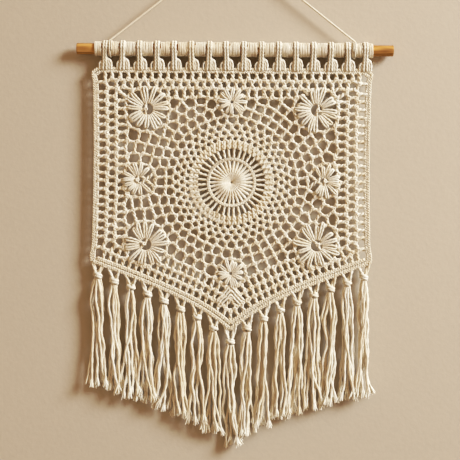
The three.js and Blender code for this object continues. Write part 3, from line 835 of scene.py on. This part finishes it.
# Edging: two plaits along the top and sides, two plumper ones along the point, and the chevrons above it
edgingYarn = {
    "step": 1.05, "uneven": 0.12, "upper": [(1.7, -0.5), (4.6, -0.2)], "upperPlait": (8.0, 1.05, 0.8, 0.92),
    "lower": [(2.0, -0.7), (6.6, -0.6)], "lowerPlait": (8.0, 1.4, 1.0, 1.2),
    "sideSteps": 60, "topSteps": 160, "pointSteps": 320, "flareTop": 6, "flareFoot": 8, "footAt": 6,
}
chevrons = {
    "apex": -373.5, "drop": 4.6, "rows": 3, "half": 15.0, "less": 2.5, "fall": 1.0, "yarn": 1.3,
    "lift": -1.5, "step": 1.1, "tone": 0.6,
}


def upperLine(inset, c):
    # up the left side, across the top and down the right; the sides flare a little at their corners
    half, top, corner = halfWide - inset, panelTop - inset, drawnIn["corner"]
    z = np.linspace(lowerRow(half, inset), top - corner, c["sideSteps"])
    flareTop, flareFoot = (z - z[-1]) / c["flareTop"], (z - z[0] - c["footAt"]) / c["flareFoot"]
    x = sideX(z) + drawnIn["flare"] * (np.exp(-flareTop ** 2) + np.exp(-flareFoot ** 2)) - inset
    across = np.linspace(corner - half, half - corner, c["topSteps"])
    topLine = np.stack([across, np.full(c["topSteps"], top)], 1)
    return np.vstack([np.stack([-x, z], 1), topLine, np.stack([x, z], 1)[::-1]])


def lowerLine(inset, c):
    x = np.linspace(inset - halfWide, halfWide - inset, c["pointSteps"])
    return np.stack([x, lowerRow(x, inset)], 1)


def makeEdging(c, v):
    skein = Skein()
    for line, rows in ((upperLine, "upper"), (lowerLine, "lower")):
        for inset, lift in c[rows]:
            x, z = line(inset, c).T
            path = evenly(onPanel(x, z, lift), c["step"])
            braid(skein, path + plusMinus(c["uneven"], path.shape), *c[rows + "Plait"])
    for n in range(v["rows"]):
        x = np.linspace(-1, 1, 5) * (v["half"] - v["less"] * n)
        z = v["apex"] - n * v["drop"] - v["fall"] * abs(x)
        skein.strand(smoothed(onPanel(x, z, v["lift"]), v["step"]), v["yarn"], shade=v["tone"])
    return skein.piece("edging", panelCotton, "yarn")


edgingPiece = makeEdging(edgingYarn, chevrons)


# Rod, a little finer than its solid
rodSize = {
    "radius": 6.0, "left": -171.0, "right": 177.0, "z": -113.0, "sides": 48, "round": 0.7, "steps": 24,
    "ease": (0, 0.15, 0.45, 1.0), "inner": (2.0, 4.0), "straightFrom": 3, "sharpFrom": 50,
}


def makeRod(c):
    left, right, count, start = c["left"], c["right"], c["sides"], c["straightFrom"]
    ease = np.array(c["ease"])
    fall = c["radius"] - c["round"] * (1 - np.sqrt(1 - (1 - ease) ** 2))
    straight = np.linspace(left + start, right - start, c["steps"])
    x = np.concatenate([left + c["round"] * ease, straight, right - c["round"] * ease[::-1]])
    radii = np.concatenate([fall, np.full(c["steps"], c["radius"]), fall[::-1]])
    rows = [(left, r) for r in c["inner"]] + list(zip(x, radii)) + [(right, r) for r in c["inner"][::-1]]
    angle = fullTurn * np.arange(count) / count
    points = [(px, r * math.cos(a), c["z"] + r * math.sin(a)) for px, r in rows for a in angle]
    points += [(left, 0, c["z"]), (right, 0, c["z"])]
    beside = [(j, (j + 1) % count) for j in range(count)]
    last = (len(rows) - 1) * count
    faces = []
    for i in range(0, last, count):
        faces += [(i + j, i + k, i + count + k, i + count + j) for j, k in beside]
    faces += [(len(points) - 2, k, j) for j, k in beside]
    faces += [(len(points) - 1, last + j, last + k) for j, k in beside]
    mesh = bpy.data.meshes.new("woodenRod")
    mesh.from_pydata([[v * mm for v in p] for p in points], [], faces)
    mesh.shade_smooth()
    mesh.set_sharp_from_angle(angle=math.radians(c["sharpFrom"]))
    mesh.materials.append(rodWood)
    rodPiece = addObject("woodenRod", mesh)
    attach(rodPiece, "root")
    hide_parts("rod")
    print("woodenRod", len(faces), "faces")


makeRod(rodSize)


# Heading: loops over the rod, shells at the panel's top, and yarn wound between them
heading = {"loops": 16, "pitch": 19.06, "shift": 3.0, "halfWidth": 2.6}
loopYarn = {
    "radius": 1.72, "apart": 2.8, "onRod": 7.7, "arc": 1.45, "arcSteps": 13, "foot": 3.0, "fan": 1.3,
    "knee": 3.0, "kneeFan": 1.1, "neck": 9.5, "front": (-1.6, -2.8, -4.2), "back": (1.4, 2.6, 4.2),
    "lean": 0.6, "sway": 0.4, "step": 1.2, "pitch": 11.0, "tone": (-0.2, 0.8),
}
shellYarn = {
    "right": [(2.0, 8.4), (4.3, 9.4), (6.5, 9.8)], "rightYarn": 1.5, "left": [(-3.4, 6.0), (-5.8, 6.6)],
    "leftYarn": 0.95, "shoulder": [(0.27, 2.6, 1.0), (0.76, 3.0, 0.8), (1.04, 2.4, 0.42)], "end": (1.2, 2.5),
    "unevenFoot": 0.4, "unevenNeck": (0.93, 1.07), "step": 1.3, "tone": (-0.2, 1.0),
}
windingYarn = {
    "pitch": 2.06, "radius": 1.04, "onRod": 7.1, "leftEnd": -152.0, "rightEnd": 155.0, "perTurn": 20,
    "twist": 70.0, "margin": 0.9, "wander": (0.22, 0.37), "swell": (0.14, 0.21), "tone": (-0.3, 0.6),
}


def loopX(i):
    return heading["shift"] + (i - (heading["loops"] - 1) / 2) * heading["pitch"]


def loopCord(skein, x, side, lean, c):
    # from the front of the panel's edge, up over the rod and down behind
    rodZ, r = rodSize["z"], c["onRod"]
    across = side * c["apart"] / 2
    turn = np.linspace(-c["arc"], c["arc"], c["arcSteps"])
    over = np.stack([np.full(len(turn), x + across - lean), r * np.sin(turn), rodZ + r * np.cos(turn)], 1)
    legs = []
    heights = (panelTop - c["foot"], panelTop + c["knee"], panelTop + c["neck"])
    for depths, sway in zip((c["front"], c["back"]), plusMinus(c["sway"], 2)):
        wide = (x + lean + across * c["fan"], x + across * c["kneeFan"], x + across + sway)
        legs.append(np.stack([wide, depths, heights], 1))
    path = smoothed(np.vstack([legs[0], over, legs[1][::-1]]), c["step"])
    skein.strand(path, c["radius"], acrossX, within(c["tone"]), pitch=c["pitch"])


def shellArc(skein, x, foot, neck, radius, c):
    # a shoulder from the loop's neck out and down into the panel's edge
    endDepth, sunk = c["end"]
    for y in (-1.0, 1.0):
        points = [(x + out * foot, deep * y, panelTop + up * neck) for out, deep, up in c["shoulder"]]
        points.append((x + foot, endDepth * y, panelTop - sunk))
        skein.strand(smoothed(points, c["step"]), radius, shade=within(c["tone"]))


def makeLoops(loops, shells):
    skein = Skein()
    for i in range(heading["loops"]):
        x = loopX(i)
        lean = plusMinus(1) * loops["lean"]
        for side in (-1, 1):
            loopCord(skein, x, side, lean, loops)
        for word in ("right", "left"):
            for foot, neck in shells[word]:
                foot += plusMinus(shells["unevenFoot"])
                neck *= within(shells["unevenNeck"])
                shellArc(skein, x, foot, neck, shells[word + "Yarn"], shells)
    skein.piece("headingLoops", panelCotton, "yarn", numbered("loop", heading["loops"]))


def makeWindings(c):
    skein = Skein()
    half, margin = heading["halfWidth"], c["radius"] * c["margin"]
    (wander, wanderRate), (swell, swellRate) = c["wander"], c["swell"]
    for i in range(heading["loops"] + 1):
        start = loopX(i - 1) + half if i else c["leftEnd"]
        end = loopX(i) - half if i < heading["loops"] else c["rightEnd"]
        turns = max(2, round((end - start) / c["pitch"]))
        steps = turns * c["perTurn"] + 1
        turn = np.linspace(0, fullTurn * turns, steps) + rng.uniform(0, fullTurn)
        x = np.linspace(start + margin, end - margin, steps)
        x = x + wander * np.sin(turn * wanderRate + i) * np.sin(turn)
        r = c["onRod"] + swell * np.sin(turn * swellRate + 2 * i)
        path = np.stack([x, -r * np.sin(turn), rodSize["z"] + r * np.cos(turn)], 1)
        skein.strand(path, c["radius"], acrossX, within(c["tone"]), pitch=c["twist"])
    skein.piece("rodWindings", panelCotton, "yarn", numbered("winding", heading["loops"] + 1))


makeLoops(loopYarn, shellYarn)
makeWindings(windingYarn)


# Tassels: two legs, a wrapped knot, loose strands with frayed ends
tasselYarn = {
    "count": 17, "pitch": 18.3, "strands": 9, "radius": 1.44, "unevenYarn": (0.92, 1.06), "twist": 34.0,
    "length": (112.0, 12.8, 4.2), "ragged": 6.4, "frayRoom": 6.0, "places": 13, "step": 1.9,
    "straight": [(0.0, 2.6), (0.08, 5.0), (0.3, 6.4), (0.55, 6.4), (0.78, 7.6), (1.0, 9.6)],
    "pinched": [(0.0, 2.6), (0.1, 5.4), (0.26, 8.4), (0.48, 3.6), (0.68, 7.8), (0.82, 6.6), (1.0, 9.8)],
    "uneven": (0.72, 1.12), "inner": 0.35, "unevenTurn": 0.3, "drift": 2.8, "driftPower": 1.2, "flat": 0.5,
    "crimp": 0.6, "crimps": (2.5, 4.5), "crimpDepth": 0.5, "wave": 1.5, "waves": (0.8, 2.0), "sway": 1.2,
    "legSpread": 6.0, "legMargin": 1.5, "legStart": (3.0, -0.4), "legEnd": (1.9, -1.5), "legDrop": 7.5,
    "legYarn": (1.6, 0.85), "legTwist": 32.0, "knotHeight": 8.0, "knotRadius": 3.2,
    "knotSwell": (0.92, 0.16), "knotUneven": (0.95, 1.05), "knotTilt": (0.15, 0.4), "knotEnds": (1.2, 3.6),
    "knotTone": (0.0, 0.8), "knotOverlap": 1.0, "wraps": 1.9, "wrapSteps": 16, "wrapYarn": 2.1,
}
frayYarn = {
    "fibres": 12, "length": 8.0, "unevenLength": (0.75, 1.1), "inside": 2.4, "start": 0.72, "spread": 3.7,
    "spreadPower": 1.2, "out": (0.35, 1.0), "least": 0.3, "yarn": 0.6, "taper": (0.8, 1.25, 1.1, 0.6),
    "ref": (0.0, 1.0, 0.1), "paler": 0.8, "sides": 4, "pitch": 900.0,
}


def frayedEnd(skein, end, way, tone, c):
    # locks of fibre fan out from just inside the cut end
    taper = c["yarn"] * np.array(c["taper"])
    s = np.linspace(0, 1, len(taper))[:, None]
    for _ in range(c["fibres"]):
        out = rng.normal(0, 1, 3)
        out -= out.dot(way) * way
        out *= within(c["out"]) / max(np.linalg.norm(out), c["least"])
        long = c["length"] * within(c["unevenLength"]) + c["inside"]
        path = end - way * c["inside"] + way * long * s
        path = path + out * (c["start"] * (1 - s) + c["spread"] * s ** c["spreadPower"])
        skein.strand(path, taper, c["ref"], tone + c["paler"], sides=c["sides"], pitch=c["pitch"])


def waving(t, cycles):
    return np.sin(fullTurn * (t * within(cycles) + rng.uniform(0, 1)))


def looseStrand(skein, top, n, pinch, c):
    around = fullTurn * (n + plusMinus(c["unevenTurn"])) / c["strands"]
    drift = plusMinus(1) * c["drift"]
    least, wider, right = c["length"]
    out = top[0] / halfWide
    long = least + wider * abs(out) + right * out - c["ragged"] * rng.uniform(0, 1) - c["frayRoom"]
    t = np.linspace(0, 1, c["places"])
    pinched, straight = (np.interp(t, *np.array(c[word]).T) for word in ("pinched", "straight"))
    opened = (pinch * pinched + (1 - pinch) * straight) * within(c["uneven"])
    if n == 0:
        opened = opened * c["inner"]
    angle = around + drift * t ** c["driftPower"]
    crimp = c["crimp"] * waving(t, c["crimps"])
    wave = c["wave"] * t * waving(t, c["waves"])
    x = top[0] + opened * np.cos(angle) + crimp + (plusMinus(c["sway"]) * t ** 2 + wave)
    y = top[1] + opened * np.sin(angle) * c["flat"] + c["crimpDepth"] * crimp
    path = smoothed(np.stack([x, y, top[2] - long * t], 1), c["step"])
    tone = plusMinus(1)
    skein.strand(path, c["radius"] * within(c["unevenYarn"]), shade=tone, pitch=c["twist"])
    frayedEnd(skein, path[-1], unit(path[-1] - path[-3]), tone, frayYarn)


def knotWrap(skein, top, c):
    steps = int(c["wrapSteps"] * c["wraps"])
    turn = np.linspace(0, fullTurn * c["wraps"], steps) + rng.uniform(0, fullTurn)
    share = np.linspace(0, 1, steps)
    (least, swell), (above, less) = c["knotSwell"], c["knotEnds"]
    r = c["knotRadius"] * (least + swell * np.sin(math.pi * share)) * within(c["knotUneven"])
    tilt = within(c["knotTilt"])
    z = top[2] - above - (c["knotHeight"] - less) * share - tilt * r * np.cos(turn)
    path = np.stack([top[0] + r * np.cos(turn), top[1] + r * np.sin(turn), z], 1)
    skein.strand(path, c["wrapYarn"], acrossZ, within(c["knotTone"]))


def makeTassel(skein, n, c):
    x = (n - (c["count"] - 1) / 2) * c["pitch"]
    z = float(lowerEdge(x))
    top = np.array([x, float(drapeAt(x, z)), z - c["legDrop"]])
    widest = halfWide - c["legMargin"]
    (into, lift), (apart, sunk) = c["legStart"], c["legEnd"]
    for sign in (-1, 1):
        foot = np.clip(x + sign * c["legSpread"], -widest, widest)
        start = onPanel(foot, lowerEdge(foot) + into, lift)
        rope(skein, start, top + (sign * apart, 0, sunk), *c["legYarn"], pitch=c["legTwist"])
    knotWrap(skein, top, c)
    under = top + (0, 0, c["knotOverlap"] - c["knotHeight"])
    pinch = rng.uniform(0, 1)
    for k in range(c["strands"]):
        looseStrand(skein, under, k, pinch, c)


def makeTassels(c):
    names = numbered("tassel", c["count"])
    for name, first, last in (("tasselsLeft", 0, 6), ("tasselsMiddle", 6, 11), ("tasselsRight", 11, 17)):
        skein = Skein()
        for n in range(first, last):
            makeTassel(skein, n, c)
        skein.piece(name, tasselCotton, "yarn", names[first:last])


makeTassels(tasselYarn)

print("yarn pieces made")


# Stage: pale backdrop and floor that are clear from behind, soft light from the upper right, a warm
# surround, and a light behind that brightens only what it falls on
stageSetup = {
    "backdropY": 10.2, "floorZ": -1400.0, "half": 2500.0, "backdrop": srgb(204, 188, 165),
    "floor": srgb(212, 200, 182), "darker": 0.94, "cloudScale": 3.0, "fineScale": 260.0,
    "toneRange": (0.3, 0.7), "height": 0.0006, "bump": 0.25, "rough": 0.9,
}
lightSetup = {
    "key": {
        "place": (2.8, -1.75, 1.25), "aim": (0.6, 0.0, 0.0), "size": 1.4, "spread": 60.0, "power": 22.8,
        "colour": (0.88, 1.03, 1.2), "bounces": 64,
    },
    "back": {
        "place": (0.6, 1.7, 0.8), "aim": (0.0, -0.2, -0.5), "size": 1.6, "spread": 120.0, "power": 28.0,
        "colour": (1.0, 0.9, 0.78), "bounces": 0,
    },
    "world": (1.0, 0.7, 0.41, 1.0), "worldPower": 0.48,
}
toneCurve = [
    (0.0, 0.0), (0.06, 0.046), (0.18, 0.157), (0.31, 0.31), (0.55, 0.557), (0.76, 0.737), (1.0, 0.885),
]


def stageMaterial(name, c):
    look = Look(name)
    place, colour = look.place(), c[name]
    cloud = look.noise(place, c["cloudScale"], 3.0)
    fine = look.noise(place, c["fineScale"], 2.0)
    tone = (cloud * 0.5 + fine * 0.5).between(*c["toneRange"])
    base = look.mix(tone, (*(c["darker"] * v for v in colour[:3]), 1.0), colour)
    plain = look.node("ShaderNodeBsdfPrincipled", {}, {
        "Base Color": base, "Roughness": c["rough"], "Normal": look.bump(c["bump"], fine * c["height"]),
    })
    clear = look.node("ShaderNodeBsdfTransparent", {}, {})
    behind = look.node("ShaderNodeNewGeometry", {}, {}, 6)
    return look.finish(look.node("ShaderNodeMixShader", {}, {0: behind, 1: plain, 2: clear}))


def stagePlane(name, corners, c):
    mesh = bpy.data.meshes.new(name)
    mesh.from_pydata([Vector(p) * mm for p in corners], [], [(0, 1, 2, 3)])
    mesh.materials.append(stageMaterial(name, c))
    plane = addObject(name, mesh)
    plane.visible_shadow = False


def softLight(name, c):
    data = bpy.data.lights.new(name, "AREA")
    data.size = c["size"]
    data.spread = math.radians(c["spread"])
    data.energy = c["power"]
    data.color = c["colour"]
    data.cycles.max_bounces = c["bounces"]
    light = addObject(name, data)
    light.location = c["place"]
    light.rotation_euler = (Vector(c["aim"]) - Vector(c["place"])).to_track_quat("-Z", "Y").to_euler()


def makeStage(c, lights):
    half, y, z = c["half"], c["backdropY"], c["floorZ"]
    stagePlane("backdrop", [(-half, y, z), (half, y, z), (half, y, half), (-half, y, half)], c)
    stagePlane("floor", [(-half, -half, z), (half, -half, z), (half, y, z), (-half, y, z)], c)
    for name in ("key", "back"):
        softLight(name, lights[name])
    world = bpy.data.worlds.new("soft surround")
    world.use_nodes = True
    surround = world.node_tree.nodes["Background"].inputs
    surround["Color"].default_value = lights["world"]
    surround["Strength"].default_value = lights["worldPower"]
    bpy.context.scene.world = world


def setTones(places):
    # soft toe and shoulder, as a camera has
    view = bpy.context.scene.view_settings
    view.view_transform = "Standard"
    view.use_curve_mapping = True
    curve = view.curve_mapping.curves[3]
    curve.points[0].location, curve.points[-1].location = places[0], places[-1]
    for place in places[1:-1]:
        curve.points.new(*place)
    view.curve_mapping.extend = "EXTRAPOLATED"
    view.curve_mapping.update()


makeStage(stageSetup, lightSetup)
setTones(toneCurve)
print("stage set")
